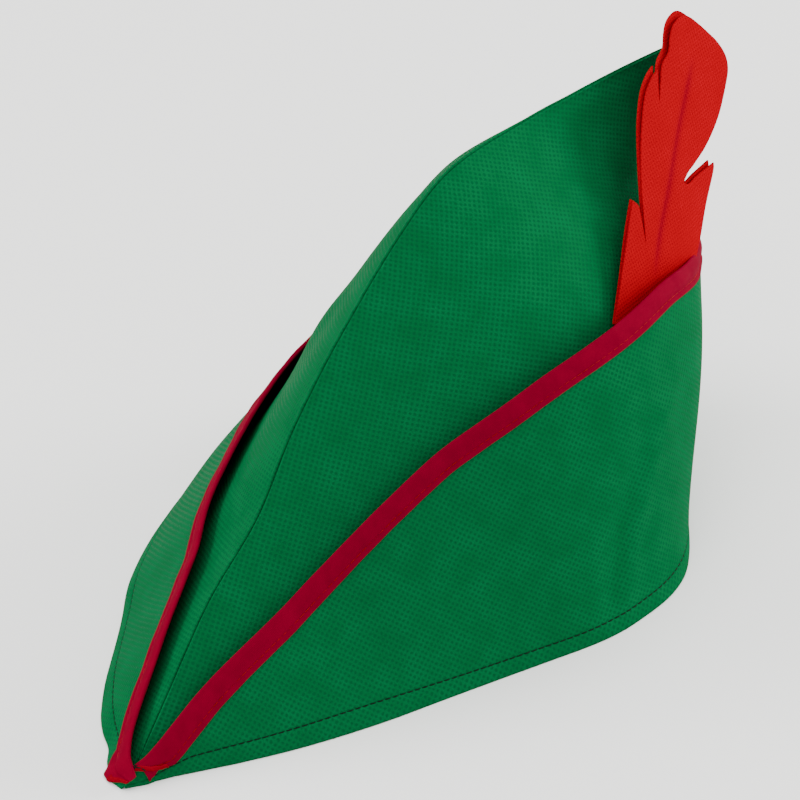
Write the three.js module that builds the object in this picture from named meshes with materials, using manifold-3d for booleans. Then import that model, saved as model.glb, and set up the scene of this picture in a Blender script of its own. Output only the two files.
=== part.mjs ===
// An archer's hat of thin cloth: a two-panel crown with a sewn ridge, a turned-up cuff on each side that runs
// down to the front tip, a tape folded over each cuff's top edge, and a two-layer cut-cloth feather.
// Millimetres, +Z up. -Y is the front tip and +X is the wearer's left. The rim lies flat at the lowest place.
import * as THREE from "three";
import { mergeVertices } from "three/addons/utils/BufferGeometryUtils.js";
import Module from "manifold-3d";

const wasm = await Module();
wasm.setup();

// Driving sizes
const rimLength = 228;
const rimHalfWidth = 84.5;
const crownHeight = 142;
const cuffHeight = 100;
const crownWall = 1.2;
const cuffWall = 1.2;
const tapeWall = 1;
const tapeWidth = 6.5;
const featherLength = 88;
const featherWidth = 37;
const featherTuck = 16;
const featherWall = 1;
const featherBend = 120;
const featherSlack = 3;
const tuckWidth = 16;
const layerShift = 1.4;
const clearance = 0.3;
const tipCut = 8;
const footHeight = 3;
const foldShare = 0.12;

// The feather's two layers and the gap between them, and the space behind the tape that they lie in.
const featherStack = 2 * featherWall + clearance;
const tuckSpace = featherStack + 2 * featherSlack;

// The rim's outline: how far back each row is, as a share of rimLength, and how far out, of rimHalfWidth.
const RIM = [
  { along: 0, left: 0, right: 0 },
  { along: 0.06, left: 0.1, right: 0.17 },
  { along: 0.13, left: 0.213, right: 0.32 },
  { along: 0.2, left: 0.335, right: 0.445 },
  { along: 0.33, left: 0.563, right: 0.615 },
  { along: 0.5, left: 0.84, right: 0.72 },
  { along: 0.6, left: 0.98, right: 0.76 },
  { along: 0.66, left: 1.02, right: 0.78 },
  { along: 0.73, left: 1.03, right: 0.79 },
  { along: 0.79, left: 0.99, right: 0.775 },
  { along: 0.86, left: 0.86, right: 0.69 },
  { along: 0.93, left: 0.6, right: 0.46 },
  { along: 0.98, left: 0.3, right: 0.14 },
  { along: 1, left: 0.08, right: -0.08 },
];

// The ridge seam from the tip to the peak, as shares of rimLength, crownHeight and rimHalfWidth.
const RIDGE = [
  { along: 0, rise: 0, lean: 0 },
  { along: 0.09, rise: 0.15, lean: 0.01 },
  { along: 0.18, rise: 0.295, lean: 0.023 },
  { along: 0.285, rise: 0.415, lean: 0.045 },
  { along: 0.36, rise: 0.577, lean: 0.07 },
  { along: 0.465, rise: 0.75, lean: 0.103 },
  { along: 0.575, rise: 0.905, lean: 0.15 },
  { along: 0.67, rise: 0.985, lean: 0.185 },
  { along: 0.815, rise: 1, lean: 0.25 },
  { along: 0.94, rise: 1, lean: 0.33 },
  { along: 1.07, rise: 0.99, lean: 0.42 },
  { along: 1.15, rise: 0.975, lean: 0.47 },
];

// How far the panels swell between rim and ridge, as shares of rimHalfWidth. at runs from the tip to the back,
// and a larger shoulder puts the fullest place nearer the ridge.
const SWELL = [
  { at: 0, left: 0, leftShoulder: 1.4, right: 0, rightShoulder: 1.4 },
  { at: 0.2, left: 0.05, leftShoulder: 1.4, right: 0, rightShoulder: 2 },
  { at: 0.4, left: 0.11, leftShoulder: 1.4, right: 0.02, rightShoulder: 3.5 },
  { at: 0.6, left: 0.21, leftShoulder: 1.4, right: 0.03, rightShoulder: 4 },
  { at: 0.7, left: 0.27, leftShoulder: 1.4, right: 0.1, rightShoulder: 3 },
  { at: 0.8, left: 0.26, leftShoulder: 1.4, right: 0.16, rightShoulder: 2 },
  { at: 0.9, left: 0.22, leftShoulder: 1.4, right: 0.2, rightShoulder: 1.5 },
  { at: 1, left: 0.08, leftShoulder: 1.4, right: 0.08, rightShoulder: 1.4 },
];

// The cuffs: height as a share of cuffHeight, and how far the tape stands off the crown, as a share of tuckSpace.
const CUFF = [
  { at: 0, left: 0.05, leftOff: 0.07, right: 0.05, rightOff: 0.07 },
  { at: 0.1, left: 0.2, leftOff: 0.07, right: 0.25, rightOff: 0.11 },
  { at: 0.2, left: 0.365, leftOff: 0.07, right: 0.42, rightOff: 0.17 },
  { at: 0.3, left: 0.54, leftOff: 0.07, right: 0.51, rightOff: 0.17 },
  { at: 0.4, left: 0.72, leftOff: 0.11, right: 0.63, rightOff: 0.12 },
  { at: 0.5, left: 0.875, leftOff: 0.17, right: 0.63, rightOff: 0.06 },
  { at: 0.6, left: 0.975, leftOff: 0.53, right: 0.66, rightOff: 0.06 },
  { at: 0.7, left: 0.965, leftOff: 0.95, right: 0.77, rightOff: 0.1 },
  { at: 0.8, left: 0.8, leftOff: 1.08, right: 0.79, rightOff: 0.2 },
  { at: 0.9, left: 0.66, leftOff: 0.3, right: 0.71, rightOff: 0.29 },
  { at: 1, left: 0.66, leftOff: 0.29, right: 0.66, rightOff: 0.29 },
];

// The feather's outline, clockwise from its lower front corner: across as a share of featherWidth, towards the
// back, and up as a share of featherLength, from the cuff's edge. Its cuts run to a point between two barbs.
const FEATHER = [
  { across: -0.49, up: -0.1 },
  { across: -0.505, up: 0.03 },
  { across: -0.52, up: 0.19 },
  { across: -0.52, up: 0.285 },
  { across: -0.44, up: 0.275 },
  { across: -0.36, up: 0.24 },
  { across: -0.24, up: 0.155 },
  { across: -0.38, up: 0.305 },
  { across: -0.49, up: 0.475 },
  { across: -0.54, up: 0.58 },
  { across: -0.555, up: 0.68 },
  { across: -0.52, up: 0.74 },
  { across: -0.48, up: 0.77 },
  { across: -0.445, up: 0.73 },
  { across: -0.385, up: 0.655 },
  { across: -0.415, up: 0.735 },
  { across: -0.435, up: 0.795 },
  { across: -0.395, up: 0.85 },
  { across: -0.415, up: 0.9 },
  { across: -0.41, up: 0.94 },
  { across: -0.365, up: 0.975 },
  { across: -0.3, up: 1 },
  { across: -0.245, up: 0.99 },
  { across: -0.1, up: 0.98 },
  { across: 0.04, up: 0.955 },
  { across: 0.2, up: 0.94 },
  { across: 0.345, up: 0.92 },
  { across: 0.4, up: 0.905 },
  { across: 0.42, up: 0.88 },
  { across: 0.42, up: 0.74 },
  { across: 0.32, up: 0.605 },
  { across: 0.195, up: 0.515 },
  { across: 0.125, up: 0.475 },
  { across: 0.08, up: 0.43 },
  { across: 0.15, up: 0.435 },
  { across: 0.26, up: 0.48 },
  { across: 0.485, up: 0.565 },
  { across: 0.505, up: 0.55 },
  { across: 0.49, up: 0.4 },
  { across: 0.44, up: 0.26 },
  { across: 0.3, up: 0.1 },
];

// How the feather stands: its place along the cuff, the way its face turns and tilts, and its lean to the back.
const featherAt = 0.71;
const featherTurn = 0;
const featherTilt = 21.7;
const featherLean = 47;

const lengthSteps = 44;
const cuffSteps = 6;
const upperSteps = 5;

// A value of a table's column between its rows.
function column(rows, name) {
  const places = rows.map((row) => row.at);
  const values = rows.map((row) => row[name]);
  const between = new THREE.CubicInterpolant(places, values, 1);
  return (at) => between.evaluate(at)[0];
}

function curveThrough(points) {
  const curve = new THREE.CatmullRomCurve3(points, false, "centripetal");
  curve.arcLengthDivisions = 800;
  return curve;
}

const ridge = curveThrough(
  RIDGE.map(
    (row) =>
      new THREE.Vector3(
        row.lean * rimHalfWidth,
        row.along * rimLength,
        row.rise * crownHeight,
      ),
  ),
);

// One side of the hat: its sign on the X axis, its rim and its columns.
function sideOf(name, sign) {
  const rim = curveThrough(
    RIM.map(
      (row) =>
        new THREE.Vector3(
          sign * row[name] * rimHalfWidth,
          row.along * rimLength,
          0,
        ),
    ),
  );
  const offColumn = column(CUFF, name + "Off");
  const heightColumn = column(CUFF, name);
  return {
    name,
    sign,
    rim,
    swell: column(SWELL, name),
    shoulder: column(SWELL, name + "Shoulder"),
    cuffHeight: (u) => heightColumn(u) * cuffHeight,
    standOff: (u) => tapeWall + 2 * clearance + offColumn(u) * tuckSpace,
  };
}

const left = sideOf("left", 1);
const right = sideOf("right", -1);

const clamp01 = (value) => Math.min(1, Math.max(0, value));

// A place on the crown's inner face: u runs from the tip to the back, v from the rim to the ridge.
function place(side, u, v) {
  const low = side.rim.getPointAt(clamp01(u));
  const high = ridge.getPointAt(clamp01(u));
  const tangent = side.rim.getTangentAt(clamp01(u));
  const outward = new THREE.Vector3(
    side.sign * tangent.y,
    -side.sign * tangent.x,
    0,
  );
  const bow = Math.sin(Math.PI * v ** side.shoulder(u));
  const swell = side.swell(u) * rimHalfWidth * bow;
  return low.lerp(high, v).addScaledVector(outward, swell);
}

// The outward normal of the crown's inner face.
function normalAt(side, u, v) {
  const step = 0.004;
  const alongU = place(side, Math.min(1, u + step), v).sub(
    place(side, Math.max(0, u - step), v),
  );
  const alongV = place(side, u, Math.min(1, v + step)).sub(
    place(side, u, Math.max(0, v - step)),
  );
  return alongU.cross(alongV).multiplyScalar(side.sign).normalize();
}

// The direction in which layers stack outward: level along the rim, so that the rim lies flat, and mitred
// along the ridge and the back seam, where the two sides meet.
function stackDirection(side, u, v) {
  const own = normalAt(side, u, v);
  if (v >= 1 || u >= 1) {
    const other = normalAt(side === left ? right : left, u, v);
    own.add(other).multiplyScalar(1 / (own.dot(other) + 1));
  }
  const level = own.x * own.x + own.y * own.y;
  const flat = new THREE.Vector3(own.x / level, own.y / level, 0);
  const height = v * panelHeight(side, u);
  return flat.lerp(own, clamp01(height / footHeight));
}

function layer(side, u, v, distance) {
  return place(side, u, v).addScaledVector(
    stackDirection(side, u, v),
    distance,
  );
}

// The rim to ridge distance at u.
function panelHeight(side, u) {
  return place(side, u, 0).distanceTo(place(side, u, 1));
}

// A closed wall between an inner and an outer grid of places, rows[i][j].
function wallBetween(inner, outer, turned) {
  const across = inner[0].length;
  const count = inner.length * across;
  const positions = [...outer.flat(), ...inner.flat()].flatMap((p) => [
    p.x,
    p.y,
    p.z,
  ]);
  const index = [];
  const face = (a, b, c) => index.push(...(turned ? [a, c, b] : [a, b, c]));
  const four = (a, b, c, d) => {
    face(a, b, c);
    face(a, c, d);
  };
  const at = (i, j) => i * across + j;
  const last = inner.length - 1;
  for (let i = 0; i < last; i++)
    for (let j = 0; j < across - 1; j++) {
      four(at(i, j), at(i + 1, j), at(i + 1, j + 1), at(i, j + 1));
      four(
        count + at(i, j),
        count + at(i, j + 1),
        count + at(i + 1, j + 1),
        count + at(i + 1, j),
      );
    }
  for (let i = 0; i < last; i++) {
    four(at(i, 0), count + at(i, 0), count + at(i + 1, 0), at(i + 1, 0));
    const j = across - 1;
    four(at(i + 1, j), count + at(i + 1, j), count + at(i, j), at(i, j));
  }
  for (let j = 0; j < across - 1; j++) {
    four(at(0, j + 1), count + at(0, j + 1), count + at(0, j), at(0, j));
    four(
      at(last, j),
      count + at(last, j),
      count + at(last, j + 1),
      at(last, j + 1),
    );
  }
  return new THREE.BufferGeometry()
    .setAttribute("position", new THREE.Float32BufferAttribute(positions, 3))
    .setIndex(index);
}

const shares = (count, from, to) =>
  Array.from({ length: count + 1 }, (_, i) => from + ((to - from) * i) / count);

// How far a panel stops short of a seam, so that the two sides keep their clearance there.
function seamCut(side, u, v) {
  const own = normalAt(side, u, v);
  const other = normalAt(side === left ? right : left, u, v);
  return clearance / 2 / Math.sqrt((1 + own.dot(other)) / 2);
}

const rimArc = left.rim.getLength();
const tipShare = tipCut / rimArc;

// The tape's width down the cuff, which narrows at the tip, where the cuff has no height left.
const tapeReach = (side, u) =>
  Math.min(tapeWidth, cuffTop(side, u) * panelHeight(side, u) - footHeight);

// The rows of a cuff, and of the crown behind it, from the rim up. The tape lies between the last two.
function cuffRows(side, u) {
  const height = panelHeight(side, u);
  const top = cuffTop(side, u);
  const tapeFoot = top - tapeReach(side, u) / height;
  return [0, ...shares(cuffSteps - 2, footHeight / height, tapeFoot), top];
}

function crownPanel(side) {
  const us = [tipShare / 2, ...shares(lengthSteps, tipShare, 1)];
  const inner = [];
  const outer = [];
  for (const u of us) {
    const stop = 1 - seamCut(side, Math.min(u, 0.99), 1) / panelHeight(side, u);
    const behind = cuffRows(side, Math.max(u, tipShare));
    const vs = [...behind, ...shares(upperSteps, behind.at(-1), 1).slice(1)];
    const row = (distance) =>
      vs.map((v) => {
        const p = layer(side, u, v, distance);
        if (v === 1)
          p.addScaledVector(
            place(side, u, 0).sub(place(side, u, 1)),
            1 - stop,
          );
        if (u === 1) p.x += (side.sign * clearance) / 2;
        return p;
      });
    inner.push(row(0));
    outer.push(row(crownWall));
  }
  return wallBetween(inner, outer, side.sign < 0);
}

// The cuff's inner face at v, as a distance from the crown's inner face.
function cuffInner(side, u, v) {
  const share = Math.min(
    1,
    (v * panelHeight(side, u)) / side.cuffHeight(u),
  );
  const least = tapeWall + 2 * clearance;
  const sewn = clearance;
  const foot = THREE.MathUtils.lerp(least, sewn, clamp01(u / foldShare));
  return crownWall + THREE.MathUtils.lerp(foot, side.standOff(u), share);
}

const cuffTop = (side, u) =>
  Math.min(
    side.cuffHeight(u) / panelHeight(side, u),
    1 - (tapeWall + 2 * clearance) / panelHeight(side, u),
  );

function cuffPanel(side) {
  const us = shares(lengthSteps, tipShare, 1);
  const inner = [];
  const outer = [];
  for (const u of us) {
    const row = (extra) =>
      cuffRows(side, u).map((v) => {
        const p = layer(side, u, v, cuffInner(side, u, v) + extra);
        if (u === 1) p.x += (side.sign * clearance) / 2;
        return p;
      });
    inner.push(row(0));
    outer.push(row(cuffWall));
  }
  return wallBetween(inner, outer, side.sign < 0);
}

// The tape is a channel: its section goes down the outer face, over the top edge and down the inner face.
function bindingTape(side) {
  const us = shares(lengthSteps, tipShare, 1);
  const inner = [];
  const outer = [];
  for (const u of us) {
    const top = cuffTop(side, u);
    const at = (down, extra) => {
      const v = Math.max(0, top - down / panelHeight(side, u));
      const p = layer(side, u, v, cuffInner(side, u, v) + extra);
      if (u === 1) p.x += (side.sign * clearance) / 2;
      return p;
    };
    const width = tapeReach(side, u);
    const front = cuffWall + clearance;
    const back = -clearance;
    inner.push([
      at(width, front),
      at(-clearance, front),
      at(-clearance, back),
      at(width, back),
    ]);
    outer.push([
      at(width, front + tapeWall),
      at(-clearance - tapeWall, front + tapeWall),
      at(-clearance - tapeWall, back - tapeWall),
      at(width, back - tapeWall),
    ]);
  }
  return wallBetween(inner, outer, side.sign < 0);
}

// A closed three.js mesh as a solid that can be cut.
function solidOf(geometry) {
  const bare = geometry.clone();
  bare.deleteAttribute("normal");
  bare.deleteAttribute("uv");
  const merged = mergeVertices(bare, 1e-4);
  return new wasm.Manifold(
    new wasm.Mesh({
      numProp: 3,
      vertProperties: merged.attributes.position.array,
      triVerts: new Uint32Array(merged.index.array),
    }),
  );
}

function geometryOf(solid) {
  const mesh = solid.getMesh();
  return new THREE.BufferGeometry()
    .setAttribute(
      "position",
      new THREE.BufferAttribute(new Float32Array(mesh.vertProperties), 3),
    )
    .setIndex(new THREE.BufferAttribute(new Uint32Array(mesh.triVerts), 1));
}

// One layer of the feather: a sheet bent across its width, cut to the outline. Its face is towards +Z here.
function featherLayer(shift) {
  const half = 0.6 * featherWidth;
  const tuck = tuckWidth / featherWidth / 2;
  const bent = (x, y, depth) =>
    new THREE.Vector3(x, y, depth - (x * x) / (2 * featherBend));
  const ups = shares(4, -featherTuck - 1, featherLength + 1);
  const acrosses = shares(12, -half, half);
  const grid = (depth) => acrosses.map((x) => ups.map((y) => bent(x, y, depth)));
  const sheet = solidOf(wallBetween(grid(-featherWall), grid(0), false));
  const outline = new THREE.Shape(
    [
      { across: -tuck, up: -featherTuck / featherLength },
      ...FEATHER,
      { across: tuck, up: -featherTuck / featherLength },
    ].map(
      (row) =>
        new THREE.Vector2(row.across * featherWidth, row.up * featherLength),
    ),
  );
  const prism = new THREE.ExtrudeGeometry(outline, {
    depth: 2 * half,
    bevelEnabled: false,
  }).translate(-shift, shift / 2, -half);
  return geometryOf(sheet.intersect(solidOf(prism)));
}

// The feather's own frame: X across it towards the back, Y up along it and Z out of its face.
function featherFrame() {
  const turn = THREE.MathUtils.degToRad(featherTurn);
  const tilt = THREE.MathUtils.degToRad(featherTilt);
  const lean = THREE.MathUtils.degToRad(featherLean);
  const face = new THREE.Vector3(
    Math.cos(turn) * Math.cos(tilt),
    Math.sin(turn) * Math.cos(tilt),
    Math.sin(tilt),
  );
  const steepest = new THREE.Vector3(
    -Math.cos(turn) * Math.sin(tilt),
    -Math.sin(turn) * Math.sin(tilt),
    Math.cos(tilt),
  );
  const level = steepest.clone().cross(face);
  const up = steepest
    .multiplyScalar(Math.cos(lean))
    .addScaledVector(level, Math.sin(lean));
  const frame = new THREE.Group();
  frame.quaternion.setFromRotationMatrix(
    new THREE.Matrix4().makeBasis(up.clone().cross(face), up, face),
  );
  frame.position.copy(
    layer(
      left,
      featherAt,
      cuffTop(left, featherAt),
      crownWall + featherSlack + featherStack,
    ),
  );
  return frame;
}

const green = new THREE.MeshStandardMaterial({
  color: 0x00824a,
  roughness: 0.85,
  metalness: 0,
});
const crimson = new THREE.MeshStandardMaterial({
  color: 0xa00024,
  roughness: 0.6,
  metalness: 0,
});
const red = new THREE.MeshStandardMaterial({
  color: 0xd4101c,
  roughness: 0.9,
  metalness: 0,
});

function namedMesh(name, geometry, material) {
  geometry.computeVertexNormals();
  const mesh = new THREE.Mesh(geometry, material);
  mesh.name = name;
  return mesh;
}

const hat = new THREE.Group();
for (const side of [left, right])
  hat.add(
    namedMesh("crown_" + side.name, crownPanel(side), green),
    namedMesh("cuff_" + side.name, cuffPanel(side), green),
    namedMesh("binding_" + side.name, bindingTape(side), crimson),
  );

const feather = featherFrame();
const front = namedMesh("feather_front", featherLayer(0), red);
const back = namedMesh("feather_back", featherLayer(layerShift), red);
back.position.z = -featherWall - clearance;
feather.add(front, back);
hat.add(feather);

// The origin is at the middle of the hat's box, at the height of the rim.
const box = new THREE.Box3().setFromObject(hat, true);
hat.position.set(
  -(box.min.x + box.max.x) / 2,
  -(box.min.y + box.max.y) / 2,
  -box.min.z,
);

export default hat;
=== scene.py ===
import math

import bpy
import numpy as np
from mathutils import Matrix, Vector, geometry, noise


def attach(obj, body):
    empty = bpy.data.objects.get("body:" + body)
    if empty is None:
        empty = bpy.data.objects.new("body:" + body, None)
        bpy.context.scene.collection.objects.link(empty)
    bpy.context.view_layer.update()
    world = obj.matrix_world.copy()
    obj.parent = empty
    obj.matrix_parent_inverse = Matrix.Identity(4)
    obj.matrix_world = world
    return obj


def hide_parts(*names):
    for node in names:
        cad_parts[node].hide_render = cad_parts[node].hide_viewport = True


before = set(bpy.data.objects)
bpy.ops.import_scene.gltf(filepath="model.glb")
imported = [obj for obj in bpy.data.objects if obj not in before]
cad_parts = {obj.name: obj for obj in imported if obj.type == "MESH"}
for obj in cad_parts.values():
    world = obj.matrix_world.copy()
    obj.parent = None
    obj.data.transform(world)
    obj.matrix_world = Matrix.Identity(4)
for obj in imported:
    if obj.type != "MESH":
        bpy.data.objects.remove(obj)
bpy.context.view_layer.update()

# Sizes are millimetres here, the same as the solids', and a piece's mesh is written in metres.
MM = 0.001
RIM_LENGTH = 228
RIM_HALF_WIDTH = 84.5
CROWN_HEIGHT = 142
CUFF_HEIGHT = 100
FEATHER_LENGTH = 88
FEATHER_WIDTH = 37
FEATHER_BEND = 120
FEATHER_STACK = 2.3
FEATHER_SLACK = 3
TUCK_SPACE = FEATHER_STACK + 2 * FEATHER_SLACK
LAYER_SHIFT = 1.4
TIP_CUT = 8
FOLD_SHARE = 0.12
FOOT_HEIGHT = 3
CROWN_WALL = 1.2
# Where the frame's origin lies among these places: the middle of the solids' box, on the floor.
ORIGIN = np.array([10.174, 131.646, 0.0])

# The cloth as it is sewn: thin non-woven, a woven tape and thread.
CLOTH = 0.5
TAPE = 0.34
TAPE_WIDTH = 6.5
TAPE_LIES = CLOTH / 2 + TAPE / 2 + 0.05
TAPE_END = 3.5
STITCH_SHARE = 0.74
STITCH_PINCH = 0.16
HEM_AT = 4.4
FULL_HEM = 14
PIT_PITCH = 1.58
FEATHER_PIT_PITCH = 1.1

# How far the middle of the crown's cloth lies out of the crown's inner face, then the cuff's cloth at its
# foot and how much more at its top edge, first round the hat and then at the back seam. The foot stands off
# at the tip and less behind its fold, and the tip's very end adds to that. The crown's cut edge ends this
# far above the floor, inside the folded rim.
CROWN_OFF = 0.6
CUFF_OFF = 2.1
CUFF_TOP_OFF = 1.6
SEAM_OFF = 2.0
SEAM_TOP_OFF = 2.2
FOOT_AT_TIP = 1.6
FOOT_BEHIND = 0.3
TIP_ADDS = 0.9
CROWN_ENDS = 0.9

# How far from a seam, the tip or the rim the cloth is drawn to it, and where its soft dents fade.
SEAM_BLEND = 8
TIP_BLEND = 5
SEWN_BLEND = 26
CUFFS_JOIN = 16
RIDGE_SAGS = 45
SEAM_FADE = 16
RIM_FADE = 12
TIP_FADE = 40

# How far the cuff's edge stays below the ridge, and how far it is raised for the tape's fold.
EDGE_BELOW = 1.6
EDGE_RAISED = 0.6

# Stitches: length, gap and thread.
HEM_STITCH = (2.3, 0.25, 0.4)
TAPE_STITCH = (2.2, 0.3, 0.2)
KNOT_STITCH = (1.6, 0.08, 0.4)

# The rim: how far back each row is, and how far out on the left and on the right.
RIM = np.array([
    (0, 0, 0), (0.06, 0.1, 0.17), (0.13, 0.213, 0.32), (0.2, 0.335, 0.445), (0.33, 0.563, 0.615),
    (0.5, 0.84, 0.72), (0.6, 0.98, 0.76), (0.66, 1.02, 0.78), (0.73, 1.03, 0.79), (0.79, 0.99, 0.775),
    (0.86, 0.86, 0.69), (0.93, 0.6, 0.46), (0.98, 0.3, 0.14), (1, 0.08, -0.08),
])

# The ridge seam from the tip to the peak: along, rise and lean.
RIDGE = np.array([
    (0, 0, 0), (0.09, 0.15, 0.01), (0.18, 0.295, 0.023), (0.285, 0.415, 0.045), (0.36, 0.577, 0.07),
    (0.465, 0.75, 0.103), (0.575, 0.905, 0.15), (0.67, 0.985, 0.185), (0.815, 1, 0.25),
    (0.94, 1, 0.33), (1.07, 0.99, 0.42), (1.15, 0.975, 0.47),
])

# How far the panels swell: at, left, its shoulder, right, its shoulder.
SWELL = np.array([
    (0, 0, 1.4, 0, 1.4), (0.2, 0.05, 1.4, 0, 2), (0.4, 0.11, 1.4, 0.02, 3.5), (0.6, 0.21, 1.4, 0.03, 4),
    (0.7, 0.27, 1.4, 0.1, 3), (0.8, 0.26, 1.4, 0.16, 2), (0.9, 0.22, 1.4, 0.2, 1.5),
    (1, 0.08, 1.4, 0.08, 1.4),
])

# The cuffs: at, left height, how far it stands off the crown, right height, how far it stands off.
CUFF = np.array([
    (0, 0.05, 0.07, 0.05, 0.07), (0.1, 0.2, 0.07, 0.25, 0.11), (0.2, 0.365, 0.07, 0.42, 0.17),
    (0.3, 0.54, 0.07, 0.51, 0.17), (0.4, 0.72, 0.11, 0.63, 0.12), (0.5, 0.875, 0.17, 0.63, 0.06),
    (0.6, 0.975, 0.53, 0.66, 0.06), (0.7, 0.965, 0.95, 0.77, 0.1), (0.8, 0.8, 1.08, 0.79, 0.2),
    (0.9, 0.66, 0.3, 0.71, 0.29), (1, 0.66, 0.29, 0.66, 0.29),
])

# How high the cuffs' cloth is sewn near the tip, in millimetres: at, left, right.
TIP_EDGE = np.array([
    (0, 2.6, 6.0), (0.02, 4.9, 7.2), (0.045, 9.5, 10.9), (0.07, 14.5, 16.4), (0.11, 22.3, 25.8),
    (0.15, 29.5, 35), (0.2, 37.7, 44.7), (0.27, 48.6, 52),
])

# How the sewn cloth differs from the tables, in millimetres: the tape's edge higher on the left and on the
# right, the rim's flare on the left and on the right, and the ridge's sag in the last column.
RIDGE_SAG = 5
SEWN = np.array([
    (0, 0, 0, 0, 0.5, 0), (0.01, 0, 0, -0.2, 1.6, 0), (0.02, 0, 0, -0.4, 0.8, 0), (0.035, 0, 0, 0.4, 0.7, 0),
    (0.055, 0, 0, 1.6, -0.1, 0), (0.08, 0, 0, 3.0, 0.8, 0), (0.11, 0, 0, 4.6, 1.2, 0),
    (0.15, 0, 0, 5.6, 0.5, 0), (0.2, 0, 0, 5.8, -0.9, 0), (0.27, -0.4, 2.8, 4.8, -1.4, 0),
    (0.34, -0.2, 2, 3.1, 0.6, 0), (0.42, 0, 1, 1.5, 2.3, 0.6), (0.5, 0.5, 0.4, 0.7, 2.2, 1.8),
    (0.57, 1.3, -1.0, 0.4, 0, 2.1), (0.65, 2.6, -1.6, 0.7, 0, 2), (0.7, 3, -1.5, 0, 0, 2.1),
    (0.76, 3.6, -1, 0, 0, 2.3), (0.79, 6.4, 0, 0, 0, 2.2), (0.815, 8.4, 0, 0, 0, 2.2),
    (0.85, 6, 0, 0, 0, 1.8), (0.9, 2, 0, 0, 0, 1.2), (1, 0, 0, 0, 0, 0),
])

# The feather's cut outline, clockwise from its lower front corner: across, up, and 1 at a sharp corner.
FEATHER = [
    (-0.43, -0.16, 1), (-0.455, 0.03, 0), (-0.475, 0.19, 0), (-0.48, 0.285, 1), (-0.41, 0.275, 0),
    (-0.36, 0.24, 0), (-0.24, 0.155, 1), (-0.38, 0.305, 0), (-0.49, 0.475, 0), (-0.54, 0.58, 0),
    (-0.555, 0.68, 0), (-0.52, 0.74, 0), (-0.48, 0.77, 1), (-0.445, 0.73, 0), (-0.385, 0.655, 1),
    (-0.415, 0.735, 0), (-0.435, 0.795, 0), (-0.395, 0.85, 0), (-0.415, 0.9, 0), (-0.41, 0.94, 0),
    (-0.365, 0.975, 0), (-0.3, 1, 0), (-0.22, 1.005, 0), (-0.1, 1.0, 0), (0.04, 0.99, 0),
    (0.2, 0.972, 0), (0.33, 0.94, 0), (0.39, 0.905, 0), (0.412, 0.86, 0), (0.415, 0.74, 0),
    (0.32, 0.605, 0), (0.195, 0.515, 0), (0.125, 0.475, 0), (0.08, 0.43, 1), (0.15, 0.435, 0),
    (0.26, 0.48, 0), (0.485, 0.565, 1), (0.505, 0.55, 0), (0.5, 0.4, 0), (0.5, 0.26, 0), (0.46, 0.08, 0),
    (0.216, -0.182, 1), (-0.216, -0.182, 1),
]
FEATHER_AT = 0.71
FEATHER_TILT = 21.7
FEATHER_LEAN = 47


def ease(x):
    """0 below 0, 1 above 1 and smooth between."""
    x = np.clip(x, 0, 1)
    return x * x * (3 - 2 * x)


def near(distance, reach):
    """1 at a seam or an edge, 0 from its reach onwards and smooth between."""
    return ease(1 - distance / reach)


def hump(x, middle, width):
    """A smooth bump of height 1."""
    return np.exp(-((x - middle) / width) ** 2)


def unit(v):
    """The same direction at length 1."""
    return v / np.maximum(np.linalg.norm(v, axis=-1, keepdims=True), 1e-9)


def line_through(points):
    """A smooth line through points, as close places and the length run at each."""
    p = np.vstack([2 * points[0] - points[1], points, 2 * points[-1] - points[-2]])
    t = np.linspace(0, 1, 60, endpoint=False)[:, None]
    parts = []
    for a, b, c, d in zip(p, p[1:], p[2:], p[3:]):
        ab, bc, cd = (np.linalg.norm(to - at) ** 0.5 for at, to in ((a, b), (b, c), (c, d)))
        start = ((b - a) / ab - (c - a) / (ab + bc) + (c - b) / bc) * bc
        stop = ((c - b) / bc - (d - b) / (bc + cd) + (d - c) / cd) * bc
        bend = 3 * (c - b) - 2 * start - stop
        parts.append(b + start * t + bend * t ** 2 + (2 * (b - c) + start + stop) * t ** 3)
    places = np.vstack(parts + [points[-1:]])
    steps = np.linalg.norm(np.diff(places, axis=0), axis=1)
    return np.concatenate([[0], np.cumsum(steps)]), places


def on_line(line, share):
    """Places at shares of a line's length."""
    run, places = line
    at = np.clip(share, 0, 1) * run[-1]
    return np.stack([np.interp(at, run, places[:, k]) for k in range(3)], -1)


def from_table(rows, k, at):
    """Column k of a table between its rows, smooth through them."""
    x, y = rows[:, 0], rows[:, k]
    steps = np.diff(y) / np.diff(x)
    slope = np.concatenate([steps[:1], (steps[1:] + steps[:-1]) / 2, steps[-1:]])
    at = np.clip(at, 0, 1)
    i = np.clip(np.searchsorted(x, at, side="right") - 1, 0, len(x) - 2)
    width = x[i + 1] - x[i]
    t = (at - x[i]) / width
    return (y[i] * (2 * t ** 3 - 3 * t ** 2 + 1) + width * slope[i] * (t ** 3 - 2 * t ** 2 + t)
            + y[i + 1] * (3 * t ** 2 - 2 * t ** 3) + width * slope[i + 1] * (t ** 3 - t ** 2))


ridge = line_through(RIDGE[:, [2, 0, 1]] * (RIM_HALF_WIDTH, RIM_LENGTH, CROWN_HEIGHT))


def hat_side(name, sign, pair, single):
    """One side of the hat: its rim, and its columns in the tables that have two for a side and one."""
    out = RIM[:, 1 if sign > 0 else 2]
    points = np.stack([sign * out * RIM_HALF_WIDTH, RIM[:, 0] * RIM_LENGTH, out * 0], 1)
    return {"name": name, "sign": sign, "rim": line_through(points), "pair": pair, "single": single}


left = hat_side("left", 1, 1, 1)
right = hat_side("right", -1, 3, 2)
RIM_ARC = left["rim"][0][-1]
TIP_SHARE = TIP_CUT / RIM_ARC


def from_back(u):
    """How far a place is from the back seam, along the rim."""
    return (1 - u) * RIM_ARC


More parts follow.
